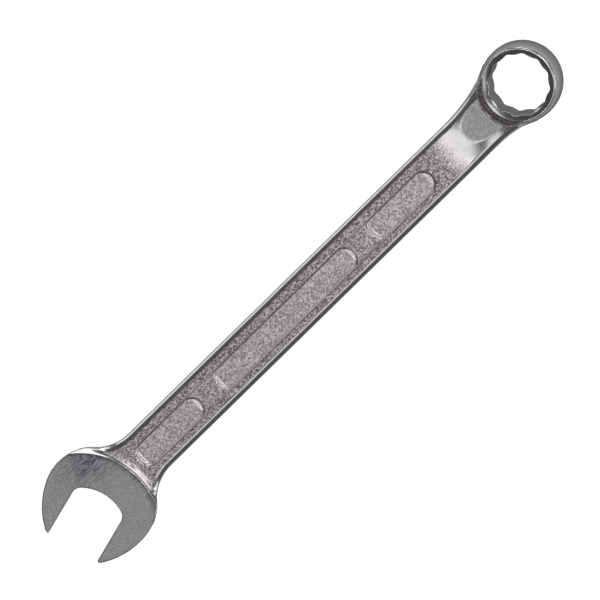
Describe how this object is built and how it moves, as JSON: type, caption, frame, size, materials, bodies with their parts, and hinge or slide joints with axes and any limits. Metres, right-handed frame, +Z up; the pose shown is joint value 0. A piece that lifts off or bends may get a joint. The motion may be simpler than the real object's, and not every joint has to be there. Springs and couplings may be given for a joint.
{
  "type": "combination wrench",
  "caption": "Forged hand wrench with an angled open jaw at one end and a cranked multi-point ring at the other, joined by a flat shank with recessed panels.",
  "frame": {"origin": "under the middle of the wrench's length and width, on the plane that it lies on", "axes": "+X along the shank from the open jaw to the ring, +Z up, the side that the ring is cranked towards"},
  "size_m": [0.2101, 0.0346, 0.0165],
  "materials": {
    "satin_chrome": "blasted satin chrome shank, polished neck and edges, ground head faces"
  },
  "bodies": {
    "root": {"wrench_forging": "satin_chrome"}
  },
  "joints": []
}
